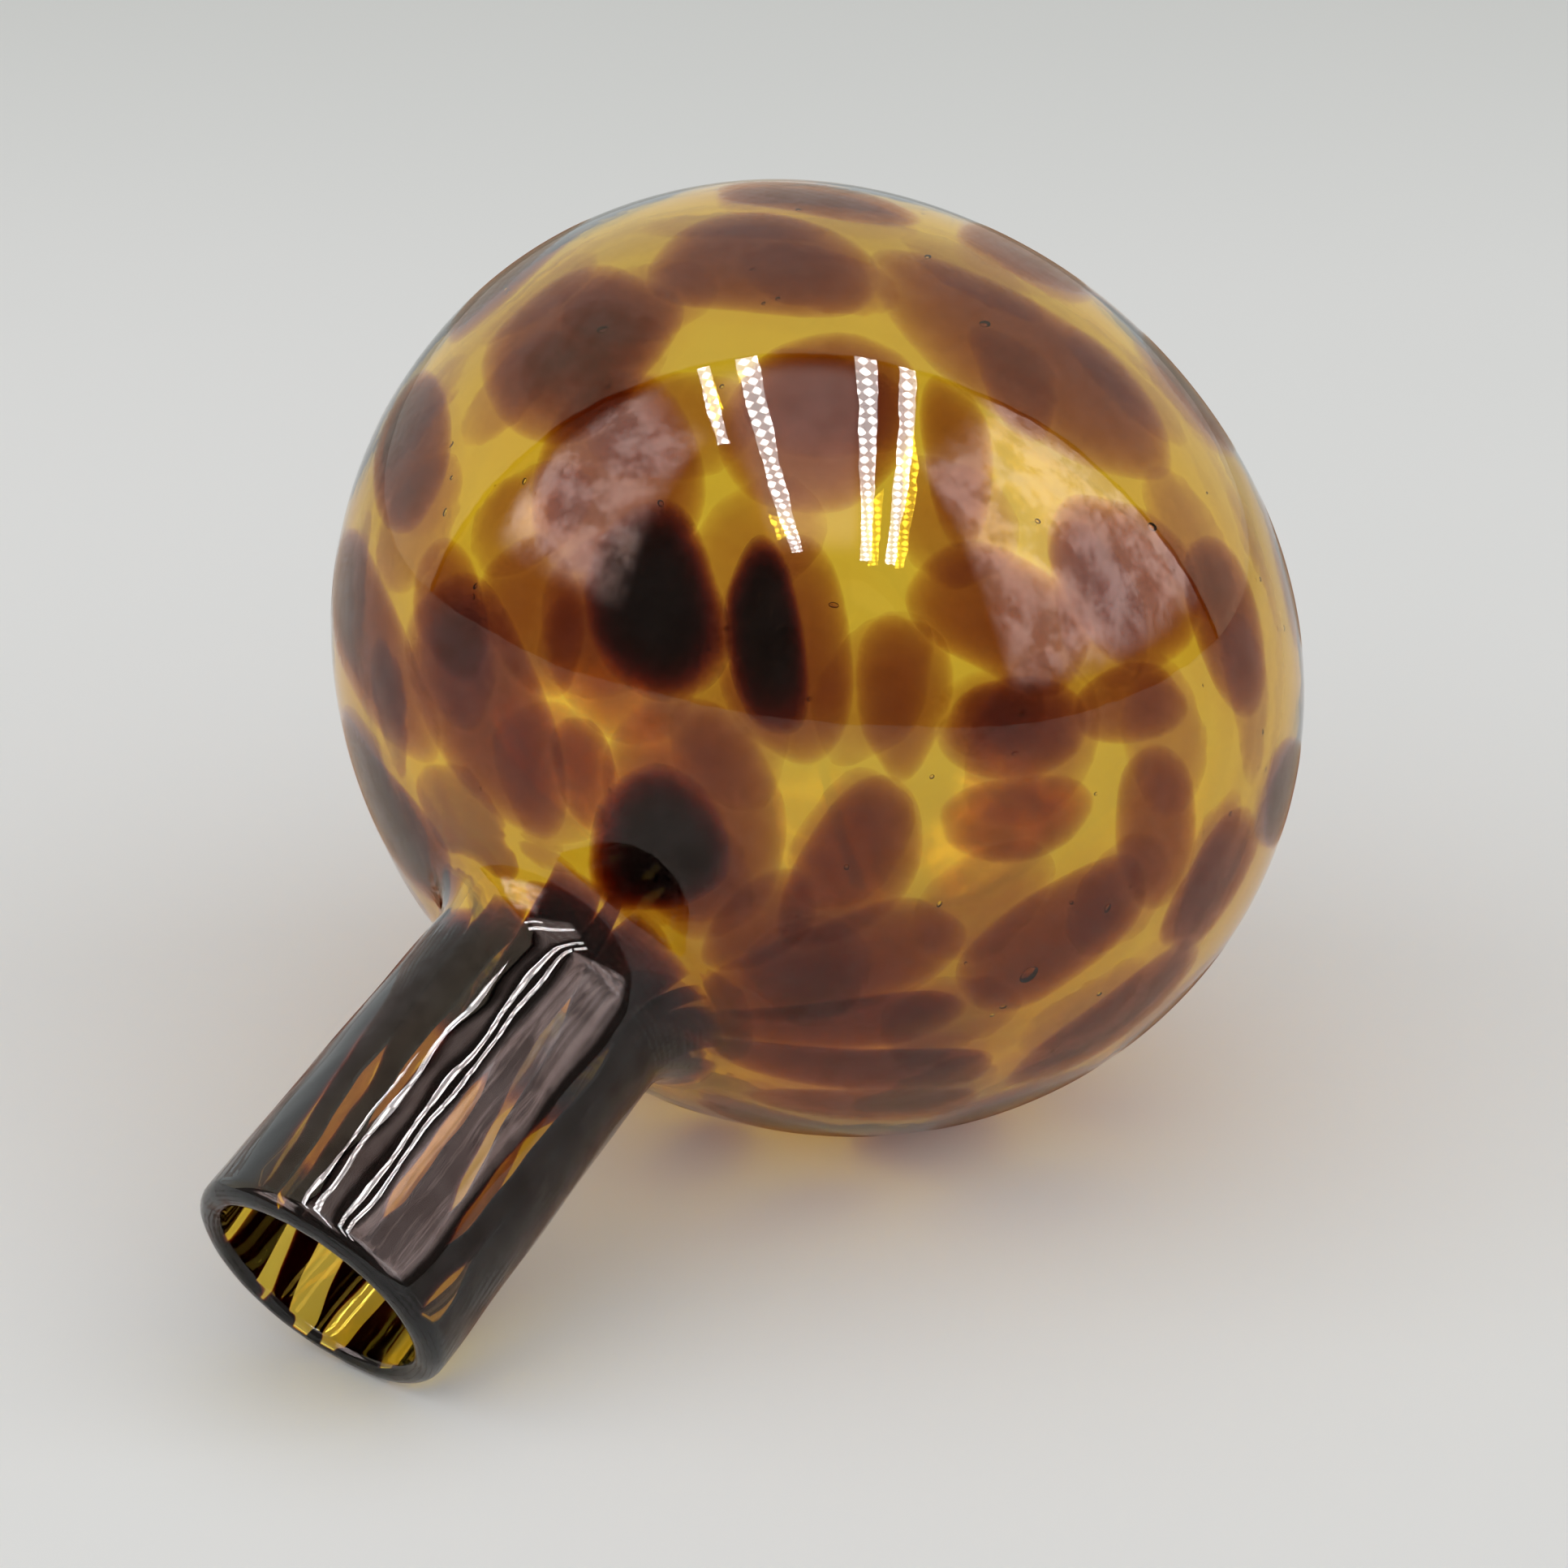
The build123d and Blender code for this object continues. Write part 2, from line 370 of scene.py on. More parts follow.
def curvature_radii(colatitude):
    """Radii of curvature along the meridian and across it."""
    angle = math.radians(colatitude)
    if angle < FRONT_JOIN:
        return FRONT_CAP, FRONT_CAP
    if angle < math.pi / 2:
        return FRONT_SHOULDER, FRONT_SHOULDER + FRONT_RISE / math.sin(angle)
    if angle < BACK_JOIN:
        return BACK_SHOULDER, BACK_SHOULDER + BACK_RISE / math.sin(angle)
    return BACK_CAP, BACK_CAP


def chip_points(chip, x, y):
    """Arc length and longitude of offsets from the middle: x from the mouth, y to greater longitude."""
    colatitude, longitude = chip[0], chip[1]
    along, across = curvature_radii(colatitude)
    dx = x / along
    dy = y / across
    distance = np.hypot(dx, dy)
    heading = np.arctan2(dy, dx)
    angle = math.radians(colatitude)
    axial = math.cos(angle) * np.cos(distance) - math.sin(angle) * np.sin(distance) * np.cos(heading)
    radial = math.sin(angle) * np.cos(distance) + math.cos(angle) * np.sin(distance) * np.cos(heading)
    sideways = np.sin(distance) * np.sin(heading)
    found = np.arccos(np.clip(axial, -1, 1))
    return s_of_angle(found), math.radians(longitude) + np.arctan2(sideways, radial)


# the two powers that shape a chip's thickness, from flat with a quick rim to soft all over
FLAT_CROWN = (3.4, 0.8)
ROUND_CROWN = (2.2, 1.3)
SOFT_CROWN = (1.6, 1.2)
RINGS, SPOKES = 12, 56
RIM_WAVES = ((2, 0.05), (3, 0.06), (4, 0.035), (5, 0.025), (7, 0.012))
# a chip's outline is a little squarer than an ellipse
SQUARE = 2.25
MOST_TAPER = 0.16
DRAWN_TAPER = 0.22
DRAWN_OUT_BEFORE = 45
MOST_LEAN = 0.22
RIM_POWER = 8


def add_chip(vertices, faces, chip, thickness, grow, crown):
    """A lens of brown glass: its rim is irregular, and the crown's two powers say how it thins to the rim."""
    length, width, turn = chip[2] * grow, chip[3] * grow, math.radians(chip[4])
    # the rings crowd towards the rim, where the thickness changes most
    share = 1 - (1 - np.arange(1, RINGS + 1) / RINGS) ** 1.5
    theta = np.arange(SPOKES) * 2 * math.pi / SPOKES
    wobble = np.ones(SPOKES)
    for wave, amount in RIM_WAVES:
        wobble += rng.uniform(-1, 1) * amount * np.cos(wave * theta + rng.uniform(0, 2 * math.pi))
    # a chip that is drawn out is blunter at one end than at the other
    taper = rng.uniform(-MOST_TAPER, MOST_TAPER) if chip[0] > DRAWN_OUT_BEFORE else DRAWN_TAPER
    scale = (np.abs(np.cos(theta)) ** SQUARE + np.abs(np.sin(theta)) ** SQUARE) ** (-1 / SQUARE)
    ex = np.cos(theta) * length / 2 * wobble * scale
    ey = np.sin(theta) * width / 2 * wobble * scale
    px = share[:, None] * ex[None]
    py = share[:, None] * ey[None] * (1 + taper * px / (length / 2))
    x = px * math.cos(turn) - py * math.sin(turn)
    y = px * math.sin(turn) + py * math.cos(turn)
    s, longitude = chip_points(chip, x, y)
    s0, longitude0 = chip_points(chip, np.zeros(1), np.zeros(1))
    # one end and one side are thicker than the other
    lean = rng.uniform(-MOST_LEAN, MOST_LEAN, 2)
    body = (1 - share ** crown[0]) ** crown[1]
    uneven = 1 + lean[0] * px / (length / 2) + lean[1] * py / (width / 2)
    depth = thickness * body[:, None] * uneven
    top = -PROUD + 2 * PROUD * share[:, None] ** RIM_POWER + np.zeros_like(depth)
    base = len(vertices)
    upper = on_surface(s, longitude, top)
    lower = on_surface(s, longitude, np.maximum(top, SKIN) + depth)
    upper0 = on_surface(s0, longitude0, np.full(1, -PROUD))
    lower0 = on_surface(s0, longitude0, np.full(1, SKIN + thickness))
    vertices.extend(upper0)
    vertices.extend(upper.reshape(-1, 3))
    vertices.extend(lower0)
    vertices.extend(lower[:-1].reshape(-1, 3))
    centre_low = base + 1 + RINGS * SPOKES

    def top_at(ring, k):
        return base + 1 + ring * SPOKES + k % SPOKES

    def low_at(ring, k):
        if ring == RINGS - 1:
            return top_at(ring, k)
        return centre_low + 1 + ring * SPOKES + k % SPOKES

    for k in range(SPOKES):
        faces.append((base, top_at(0, k), top_at(0, k + 1)))
        faces.append((centre_low, low_at(0, k + 1), low_at(0, k)))
        for ring in range(RINGS - 1):
            faces.append((top_at(ring, k), top_at(ring + 1, k), top_at(ring + 1, k + 1), top_at(ring, k + 1)))
            faces.append((low_at(ring, k + 1), low_at(ring + 1, k + 1), low_at(ring + 1, k), low_at(ring, k)))


def oriented(vertices, faces):
    """The same faces, turned outwards if they look inwards."""
    vertices = np.array(vertices)
    if signed_volume(vertices - vertices.mean(axis=0), faces) < 0:
        faces = [tuple(reversed(f)) for f in faces]
    return vertices, faces


# ---------------------------------------------------------------------------
# materials
# ---------------------------------------------------------------------------


class Nodes:
    """A small helper for writing node trees in code."""

    def __init__(self, tree):
        self.tree = tree

    def add(self, kind, **values):
        node = self.tree.nodes.new(kind)
        for key, value in values.items():
            setattr(node, key, value)
        return node

    def link(self, a, b):
        self.tree.links.new(a, b)

    def put(self, socket, value):
        if hasattr(value, "is_output"):
            self.link(value, socket)
        else:
            socket.default_value = value

    def math(self, operation, a, b=None):
        node = self.add("ShaderNodeMath", operation=operation)
        self.put(node.inputs[0], a)
        if b is not None:
            self.put(node.inputs[1], b)
        return node.outputs[0]

    def dot(self, vector, along):
        node = self.add("ShaderNodeVectorMath", operation="DOT_PRODUCT")
        self.link(vector, node.inputs[0])
        node.inputs[1].default_value = along
        return node.outputs["Value"]

    def ramp(self, value, low, high, from_value=0.0, to_value=1.0):
        node = self.add("ShaderNodeMapRange", interpolation_type="SMOOTHSTEP")
        self.put(node.inputs["Value"], value)
        node.inputs["From Min"].default_value = low
        node.inputs["From Max"].default_value = high
        node.inputs["To Min"].default_value = from_value
        node.inputs["To Max"].default_value = to_value
        return node.outputs["Result"]

    def band(self, value, rise, fall):
        """1 between the two ramps, 0 outside them."""
        return self.math("MULTIPLY", self.ramp(value, *rise), self.ramp(value, *fall))

    def mix(self, share, a, b):
        node = self.add("ShaderNodeMix", data_type="RGBA")
        self.put(node.inputs[0], share)
        self.put(node.inputs[6], a)
        self.put(node.inputs[7], b)
        return node.outputs[2]

    def noise(self, vector, scale, detail=2.0, roughness=0.5):
        node = self.add("ShaderNodeTexNoise")
        self.link(vector, node.inputs["Vector"])
        node.inputs["Scale"].default_value = scale
        node.inputs["Detail"].default_value = detail
        node.inputs["Roughness"].default_value = roughness
        return node.outputs["Fac"]


def new_material(name):
    material = bpy.data.materials.new(name)
    material.use_nodes = True
    material.node_tree.nodes.clear()
    return material, Nodes(material.node_tree)


def glass_material(name, colour, other_colour, ior, absorb_colour, absorb_density, mottle, bump):
    material, n = new_material(name)
    out = n.add("ShaderNodeOutputMaterial")
    shader = n.add("ShaderNodeBsdfPrincipled")
    place_in_object = n.add("ShaderNodeTexCoord").outputs["Object"]
    cloud = n.noise(place_in_object, mottle, 3.0, 0.55)
    share = n.ramp(cloud, 0.35, 0.7)
    n.link(n.mix(share, colour, other_colour), shader.inputs["Base Color"])
    shader.inputs["Transmission Weight"].default_value = 1.0
    shader.inputs["IOR"].default_value = ior
    shader.inputs["Roughness"].default_value = 0.0
    if bump:
        fine = n.noise(place_in_object, 170.0, 2.0, 0.5)
        bump_node = n.add("ShaderNodeBump")
        bump_node.inputs["Strength"].default_value = bump
        bump_node.inputs["Distance"].default_value = 0.0002
        n.link(fine, bump_node.inputs["Height"])
        n.link(bump_node.outputs["Normal"], shader.inputs["Normal"])
    n.link(shader.outputs[0], out.inputs["Surface"])
    absorb = n.add("ShaderNodeVolumeAbsorption")
    absorb.inputs["Color"].default_value = (*absorb_colour, 1)
    absorb.inputs["Density"].default_value = absorb_density
    n.link(absorb.outputs[0], out.inputs["Volume"])
    return material


amber = glass_material(
    name="amber_glass",
    colour=(1.0, 1.0, 1.0, 1),
    other_colour=(1.0, 0.97, 0.90, 1),
    ior=1.5,
    absorb_colour=(0.955, 0.848, 0.08),
    absorb_density=760.0,
    mottle=120.0,
    bump=0.12,
)
# the brown glass lies in the amber glass and stands a hair proud of it; light goes straight through its faces
BROWN_IOR = 1.0
brown = glass_material(
    name="brown_glass",
    colour=(1.0, 0.99, 0.98, 1),
    other_colour=(0.93, 0.88, 0.84, 1),
    ior=BROWN_IOR,
    absorb_colour=(0.65, 0.33, 0.03),
    absorb_density=2800.0,
    mottle=260.0,
    bump=0.0,
)
# where several chips lie on each other, as in the streaks on the neck
deep_brown = glass_material(
    name="deep_brown_glass",
    colour=(1.0, 0.99, 0.98, 1),
    other_colour=(0.80, 0.76, 0.74, 1),
    ior=BROWN_IOR,
    absorb_colour=(0.58, 0.19, 0.03),
    absorb_density=9000.0,
    mottle=200.0,
    bump=0.0,
)

# ---------------------------------------------------------------------------
# the amber body
# ---------------------------------------------------------------------------
TURNS = 240
STEP = 1.35
outer_side, outer_lip = outer_profile(STEP)
inner_side = side_of_flask(WALL, BORE, BORE, MOUTH - LIP_INNER, STEP)[::-1]
inner_side = inner_side.copy()
inner_side[:, 2:] *= -1
outer_rows = np.vstack([outer_side, outer_lip])
rows = np.vstack([outer_rows, inner_side[1:]])
outer_count = len(outer_rows)
longitudes = np.arange(TURNS) * 2 * math.pi / TURNS


def body_mesh():
    station, radius = rows[:, 0], rows[:, 1]
    grid_station = np.repeat(station[:, None], TURNS, axis=1)
    grid_radius = np.repeat(radius[:, None], TURNS, axis=1)
    grid_longitude = np.repeat(longitudes[None], len(rows), axis=0)
    points = place(grid_station, grid_radius, grid_longitude)
    normals = direction(
        np.repeat(rows[:, 2:3], TURNS, axis=1), np.repeat(rows[:, 3:4], TURNS, axis=1), grid_longitude
    )
    flat = points.reshape(-1, 3)
    outside = dips(flat, grid_station.reshape(-1)).reshape(grid_station.shape) + SINK
    inside = INNER_DIP * ripple(flat, INNER_WAVES).reshape(grid_station.shape)
    is_outside = (np.arange(len(rows)) < outer_count)[:, None]
    depth = np.where(is_outside, outside, inside)
    points = points - normals * depth[..., None]
    vertices = [points[0].mean(axis=0)]
    last = len(rows) - 1
    vertices.extend(points[1:last].reshape(-1, 3))
    vertices.append(points[last].mean(axis=0))

    def at(row, k):
        return 1 + (row - 1) * TURNS + k % TURNS

    faces = []
    for k in range(TURNS):
        faces.append((0, at(1, k + 1), at(1, k)))
        faces.append((len(vertices) - 1, at(last - 1, k), at(last - 1, k + 1)))
    for row in range(1, last - 1):
        for k in range(TURNS):
            faces.append((at(row, k), at(row, k + 1), at(row + 1, k + 1), at(row + 1, k)))
    return vertices, faces


# gas bubbles in the wall: colatitude, longitude, length, width, thickness, turn, depth of the middle
BUBBLES = [
    (52.4, 95.5, 2.6, 1.9, 0.8, -40, 0.9),
    (79.6, -3.7, 1.5, 1.0, 0.6, 70, 0.8),
    (105.1, 32.1, 1.5, 1.0, 0.6, 30, 0.8),
    (112.0, 21.6, 1.0, 0.7, 0.5, 10, 0.9),
    (64.3, 91.1, 1.3, 0.8, 0.5, -50, 0.8),
    (91.4, 12.7, 0.7, 0.5, 0.4, 0, 1.0),
    (90.0, 11.6, 0.6, 0.4, 0.3, 0, 1.4),
    (49.8, 20.0, 0.8, 0.5, 0.4, 20, 0.9),
    (97.5, 59.8, 1.4, 1.0, 0.5, 60, 0.8),
    (50.5, 37.9, 0.5, 0.4, 0.3, 0, 0.8),
    (50.2, 42.9, 0.6, 0.4, 0.3, 0, 1.2),
    (44.7, -10.2, 0.9, 0.5, 0.4, 40, 0.9),
    (66.9, 62.4, 0.8, 0.5, 0.4, 0, 0.9),
    (48.5, 100.3, 0.9, 0.6, 0.4, 10, 1.0),
    (48.0, 28.4, 0.5, 0.4, 0.3, 0, 1.1),
    (47.0, 101.5, 0.6, 0.4, 0.3, 0, 1.0),
    (53.9, 61.0, 0.6, 0.5, 0.3, 0, 1.0),
]
# and smaller ones all over
for _ in range(60):
    size = rng.uniform(0.25, 0.7)
    BUBBLES.append(
        (
            math.degrees(math.acos(rng.uniform(-0.95, 0.8))),
            rng.uniform(0, 360),
            size * rng.uniform(1.0, 1.8),
            size,
            size * 0.6,
            rng.uniform(-90, 90),
            rng.uniform(0.8, 1.7),
        )
    )


def add_bubble(vertices, faces, bubble):
    colatitude, longitude, length, width, thick, turn, depth = bubble
    rings, spokes = 8, 14
    base = len(vertices)
    chip = (colatitude, longitude)
    polar = np.linspace(0, math.pi, rings + 1)[1:-1]
    theta = np.arange(spokes) * 2 * math.pi / spokes
    lean = math.radians(turn)
    px = np.sin(polar)[:, None] * np.cos(theta)[None] * length / 2
    py = np.sin(polar)[:, None] * np.sin(theta)[None] * width / 2
    x = px * math.cos(lean) - py * math.sin(lean)
    y = px * math.sin(lean) + py * math.cos(lean)
    s, longitude_grid = chip_points(chip, x, y)
    d = depth - np.cos(polar)[:, None] * thick / 2 + np.zeros_like(x)
    s0, longitude0 = chip_points(chip, np.zeros(1), np.zeros(1))
    vertices.extend(on_surface(s0, longitude0, np.full(1, depth - thick / 2)))
    vertices.extend(on_surface(s, longitude_grid, d).reshape(-1, 3))
    vertices.extend(on_surface(s0, longitude0, np.full(1, depth + thick / 2)))

    def at(ring, k):
        return base + 1 + ring * spokes + k % spokes

    end = base + 1 + (rings - 1) * spokes
    own = []
    for k in range(spokes):
        own.append((base, at(0, k), at(0, k + 1)))
        own.append((end, at(rings - 2, k + 1), at(rings - 2, k)))
        for ring in range(rings - 2):
            own.append((at(ring, k), at(ring + 1, k), at(ring + 1, k + 1), at(ring, k + 1)))
    bubble_vertices = np.array(vertices[base:])
    local = [tuple(i - base for i in f) for f in own]
    # a bubble is a hole in the glass, so its faces look inwards
    if signed_volume(bubble_vertices - bubble_vertices.mean(axis=0), local) > 0:
        own = [tuple(reversed(f)) for f in own]
    faces.extend(own)


body_vertices, body_faces = body_mesh()
body_vertices, body_faces = oriented(body_vertices, body_faces)
body_vertices = list(body_vertices)
for bubble in BUBBLES:
    add_bubble(body_vertices, body_faces, bubble)
body = mesh_object("amber_flask_body", body_vertices, body_faces)
body.data.materials.append(amber)
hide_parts("amber_flask")
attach(body, "root")

# ---------------------------------------------------------------------------
# brown chips on the bulb
# ---------------------------------------------------------------------------


def brown_piece(name, node, vertices, faces, material):
    vertices, faces = oriented(vertices, faces)
    piece = mesh_object(name, vertices, faces)
    piece.data.materials.append(material)
    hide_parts(node)
    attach(piece, "root")
    return piece


CHIP_THICKNESS = 1.1
# the chips that look paler are thinner, and so are those on the back, which light comes through
THIN_CHIPS = {
    "front_chip_8": 0.7,
    "small_chips": 0.75,
    "girth_chip_10": 0.7,
    "girth_chip_11": 0.7,
    "girth_row_chips": 0.42,
    "outer_back_chips": 0.42,
    "middle_back_chips": 0.42,
    "inner_back_chips": 0.42,
    "back_pole_chip": 0.42,
}
# a chip's soft rim reaches beyond the outline that the photo shows
GROW_SHOULDER = 1.13
GROW_SINGLE = 1.04
GROW_IN_ROWS = 1.10
for node, places in chip_nodes.items():
    alone = len(places) == 1
    grow = GROW_SHOULDER if node.startswith("shoulder_chip") else GROW_SINGLE if alone else GROW_IN_ROWS
    # neighbours in a row may touch, so every second chip goes into a second piece
    for half in range(min(2, len(places))):
        vertices, faces = [], []
        for chip in places[half::2]:
            thickness = CHIP_THICKNESS * THIN_CHIPS.get(node, 1.0) * rng.uniform(0.85, 1.1)
            add_chip(vertices, faces, chip, thickness, grow, FLAT_CROWN)
        suffix = "" if alone else f"_{half + 1}"
        brown_piece("glass_" + node + suffix, node, vertices, faces, brown)

DOUBLE_THICKNESS = 0.8
DEEPEST_THICKNESS = 1.5
for node, chip in DOUBLE_CHIPS.items():
    vertices, faces = [], []
    if node in DEEPEST:
        add_chip(vertices, faces, chip, DEEPEST_THICKNESS, 1.0, ROUND_CROWN)
    else:
        add_chip(vertices, faces, chip, DOUBLE_THICKNESS, 1.0, SOFT_CROWN)
    brown_piece(f"glass_{node}_double", node, vertices, faces, deep_brown if node in DEEPEST else brown)

# ---------------------------------------------------------------------------
# brown streaks round the neck, between thin lines of amber
# ---------------------------------------------------------------------------
STREAK_COUNT = sum(1 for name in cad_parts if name.startswith("neck_streak_"))
# the amber lines between them: longitude at the middle station, degrees per mm towards the mouth,
# width in mm, and the stations between which the line is open
AMBER_LINES = [
    (-25, 0.72, 4.6, 66, 103),
    (-1, 0.42, 1.6, 76, 104),
    (15, 0.10, 1.2, 58, 90),
    (41, 0.20, 1.5, 72, 97),
    (57, 0.55, 1.4, 60, 92),
    (73, -0.15, 1.7, 60, 94),
    (85, 0.0, 3.2, 90, 103),
    (128, 0.50, 4.0, 60, 100),
    (168, -0.25, 4.2, 62, 104),
    (197, 0.10, 3.6, 60, 104),
    (236, -0.90, 3.8, 62, 104),
    (262, -1.10, 2.2, 64, 104),
    (285, -0.60, 1.6, 70, 104),
]
MIDDLE_S = float(s_of_station(np.array([79.0]))[0])
# how far from the middle the lines go on turning, and how quickly they open and close
LINE_REACH = (-30, 24)
LINE_OPENS_OVER = 7
LINE_CLOSES_OVER = 5
# where a line is closed, the streaks beside it overlap by this much each
OVERLAP = 0.25
STREAK_WAVES = ((0.22, 0.21), (0.12, 0.47), (0.05, 1.07))
STREAK_THICKNESS = 1.3
# the underside, where the chips were drawn out thinner: its longitude, and how much thinner they are
UNDERSIDE = math.radians(235)
THINNER_BELOW = 0.93
# the stations where the streaks begin: the amber shows at the root on top, and nowhere else
ROOT_ON_TOP = 58.0
ROOT_BESIDE = 56.0
ROOT_ELSEWHERE = 51.0


def smooth(share):
    return share * share * (3 - 2 * share)


def add_streak(vertices, faces, left, right, root_station, thickness):
    """A long thin lens of brown glass from the neck's root over the lip and into the bore."""
    rows_along, across = 80, 14
    s_start = float(s_of_station(np.array([root_station]))[0])
    s_end = dense_s[-1] - 0.4
    share = np.linspace(0, 1, rows_along + 1)
    s = s_start + (s_end - s_start) * share
    station = np.interp(s, dense_s, dense[:, 0])
    radius = np.interp(s, dense_s, dense[:, 1])
    phases = rng.uniform(0, 2 * math.pi, 8)

    def edge(line, side, first):
        longitude, drift, width, opens, closes = line
        rise = np.clip((station - opens) / LINE_OPENS_OVER, 0, 1)
        fall = np.clip((closes - station) / LINE_CLOSES_OVER, 0, 1)
        opened = smooth(rise) * smooth(fall)
        wave = sum(
            amount * np.sin(s * rate + phases[first + k]) for k, (amount, rate) in enumerate(STREAK_WAVES)
        )
        off = -OVERLAP + (width / 2 + OVERLAP) * opened + wave * (0.25 + 0.75 * opened)
        return np.radians(longitude + drift * np.clip(s - MIDDLE_S, *LINE_REACH)) + side * off / radius

    low = edge(left, 1, 0)
    high = edge(right, -1, 4)
    # the root end fades out
    close = 0.72 + 0.28 * np.clip(share / 0.10, 0, 1)
    middle = (low + high) / 2
    half = np.maximum((high - low) / 2, 0.01) * np.maximum(close, 0.02)
    u = -np.cos(np.linspace(0, math.pi, across + 1))
    longitude = middle[:, None] + half[:, None] * u[None]
    s_grid = np.repeat(s[:, None], across + 1, axis=1)
    body = (1 - np.abs(u) ** 9) ** 0.7
    ends = np.clip(np.minimum(share / 0.16, (1 - share) / 0.02), 0, 1)
    along_neck = np.clip((station - 60) / 5, 0, 1) * np.clip((91 - station) / 4, 0, 1)
    below = np.clip(np.cos(longitude - UNDERSIDE) * 1.6, 0, 1)
    depth = thickness * body[None] * ends[:, None] * (1 - THINNER_BELOW * along_neck[:, None] * below)
    rim = np.maximum(np.abs(u)[None] ** 10, (1 - ends[:, None]) ** 2)
    top = -PROUD + 2 * PROUD * rim
    upper = on_surface(s_grid, longitude, top)
    lower = on_surface(s_grid, longitude, np.maximum(top, SKIN) + depth)
    base = len(vertices)
    vertices.extend(upper.reshape(-1, 3))
    width = across + 1

    def at(i, j):
        return base + i * width + j

    low_index = {}
    for i in range(rows_along + 1):
        for j in range(width):
            if i in (0, rows_along) or j in (0, across):
                low_index[i, j] = at(i, j)
            else:
                low_index[i, j] = len(vertices)
                vertices.append(lower[i, j])
    for i in range(rows_along):
        for j in range(across):
            faces.append((at(i, j), at(i + 1, j), at(i + 1, j + 1), at(i, j + 1)))
            below_it = ((i, j + 1), (i + 1, j + 1), (i + 1, j), (i, j))
            faces.append(tuple(low_index[corner] for corner in below_it))


for k, left_line in enumerate(AMBER_LINES):
    right_line = AMBER_LINES[(k + 1) % len(AMBER_LINES)]
    if k + 1 == len(AMBER_LINES):
        right_line = (right_line[0] + 360, *right_line[1:])
    root = ROOT_ON_TOP if k in (0, len(AMBER_LINES) - 1) else ROOT_BESIDE if k == 1 else ROOT_ELSEWHERE
    vertices, faces = [], []
    add_streak(vertices, faces, left_line, right_line, root, STREAK_THICKNESS)
    # the CAD has one streak fewer than there are lines, so its last node has two pieces
    node = f"neck_streak_{min(k + 1, STREAK_COUNT)}"
    suffix = "" if k + 1 <= STREAK_COUNT else f"_{k + 2 - STREAK_COUNT}"
    brown_piece(f"glass_{node}{suffix}", node, vertices, faces, deep_brown)

# ---------------------------------------------------------------------------
# floor
# ---------------------------------------------------------------------------
floor_mesh = bpy.data.meshes.new("floor")
floor_mesh.from_pydata([(-4, -4, 0), (4, -4, 0), (4, 4, 0), (-4, 4, 0)], [], [(0, 1, 2, 3)])
floor = bpy.data.objects.new("floor", floor_mesh)
scene.collection.objects.link(floor)
floor_material, n = new_material("plain_pale_floor")
out = n.add("ShaderNodeOutputMaterial")
shader = n.add("ShaderNodeBsdfPrincipled")
floor_place = n.add("ShaderNodeTexCoord").outputs["Object"]
paper = n.noise(floor_place, 3.0, 2.0, 0.5)
pale = n.mix(n.ramp(paper, 0.3, 0.7), (0.87, 0.875, 0.865, 1), (0.89, 0.89, 0.882, 1))
# painted shade: the floor's colour is a little darker further back, standing in for the tent's light falling
# off there
far_painted_shade = n.ramp(n.dot(floor_place, (-0.6, 0.8, 0)), 0.10, 1.0)
n.link(n.mix(far_painted_shade, pale, (0.69, 0.70, 0.68, 1)), shader.inputs["Base Color"])
shader.inputs["Roughness"].default_value = 1.0
shader.inputs["Specular IOR Level"].default_value = 0.0
n.link(shader.outputs[0], out.inputs["Surface"])
floor.data.materials.append(floor_material)

# ---------------------------------------------------------------------------
# soft studio light: a white tent all round, open at the front, with lamps on the ceiling before it
# ---------------------------------------------------------------------------
AZIMUTH = math.radians(37.0)
ELEVATION = math.radians(22.5)
world = bpy.data.worlds.new("tent")
scene.world = world
world.use_nodes = True
world.node_tree.nodes.clear()
w = Nodes(world.node_tree)
look = w.add("ShaderNodeTexCoord").outputs["Generated"]

front = w.dot(look, (math.sin(AZIMUTH), -math.cos(AZIMUTH), 0))
right_hand = w.dot(look, (math.cos(AZIMUTH), math.sin(AZIMUTH), 0))
height = w.dot(look, (0, 0, 1))

# the opening: the front half, down to a little below the horizon
behind_edge = w.math("ADD", front, w.math("MULTIPLY", w.math("SUBTRACT", 1.0, height), 0.22))
left_lift = w.math("MULTIPLY", w.math("MAXIMUM", w.math("MULTIPLY", right_hand, -1.0), 0.0), 0.14)
lower_edge = w.math("SUBTRACT", w.math("ADD", height, 0.225), left_lift)
edge = w.math("MINIMUM", behind_edge, lower_edge)
opening = w.ramp(edge, -0.004, 0.004)
hem = w.band(edge, (-0.014, -0.004), (0.020, 0.010))

# the roof between the lamps, in a plane overhead
safe_height = w.math("MAXIMUM", height, 0.02)
ahead = w.math("DIVIDE", front, safe_height)
across = w.math("DIVIDE", right_hand, safe_height)
roof = w.math(
    "MULTIPLY", w.band(ahead, (0.02, 0.12), (1.30, 0.95)), w.band(across, (-0.42, -0.28), (0.18, 0.08))
)
roof = w.math("MULTIPLY", roof, w.ramp(height, 0.3, 0.45))

# pale creased cloth at the two sides of the opening
crease = w.noise(look, 7.0, 5.0, 0.65)
creases = w.ramp(crease, 0.40, 0.60, 0.35, 1.0)
turn_angle = w.math("ARCTAN2", right_hand, front)
left_cloth = w.math(
    "MULTIPLY", w.band(turn_angle, (-1.60, -1.50), (-0.88, -1.00)), w.band(height, (0.22, 0.38), (0.88, 0.78))
)
right_cloth = w.math(
    "MULTIPLY", w.band(turn_angle, (0.64, 0.76), (1.82, 1.74)), w.band(height, (0.08, 0.22), (0.88, 0.80))
)
cloth = w.math("MULTIPLY", w.math("MAXIMUM", left_cloth, right_cloth), creases)

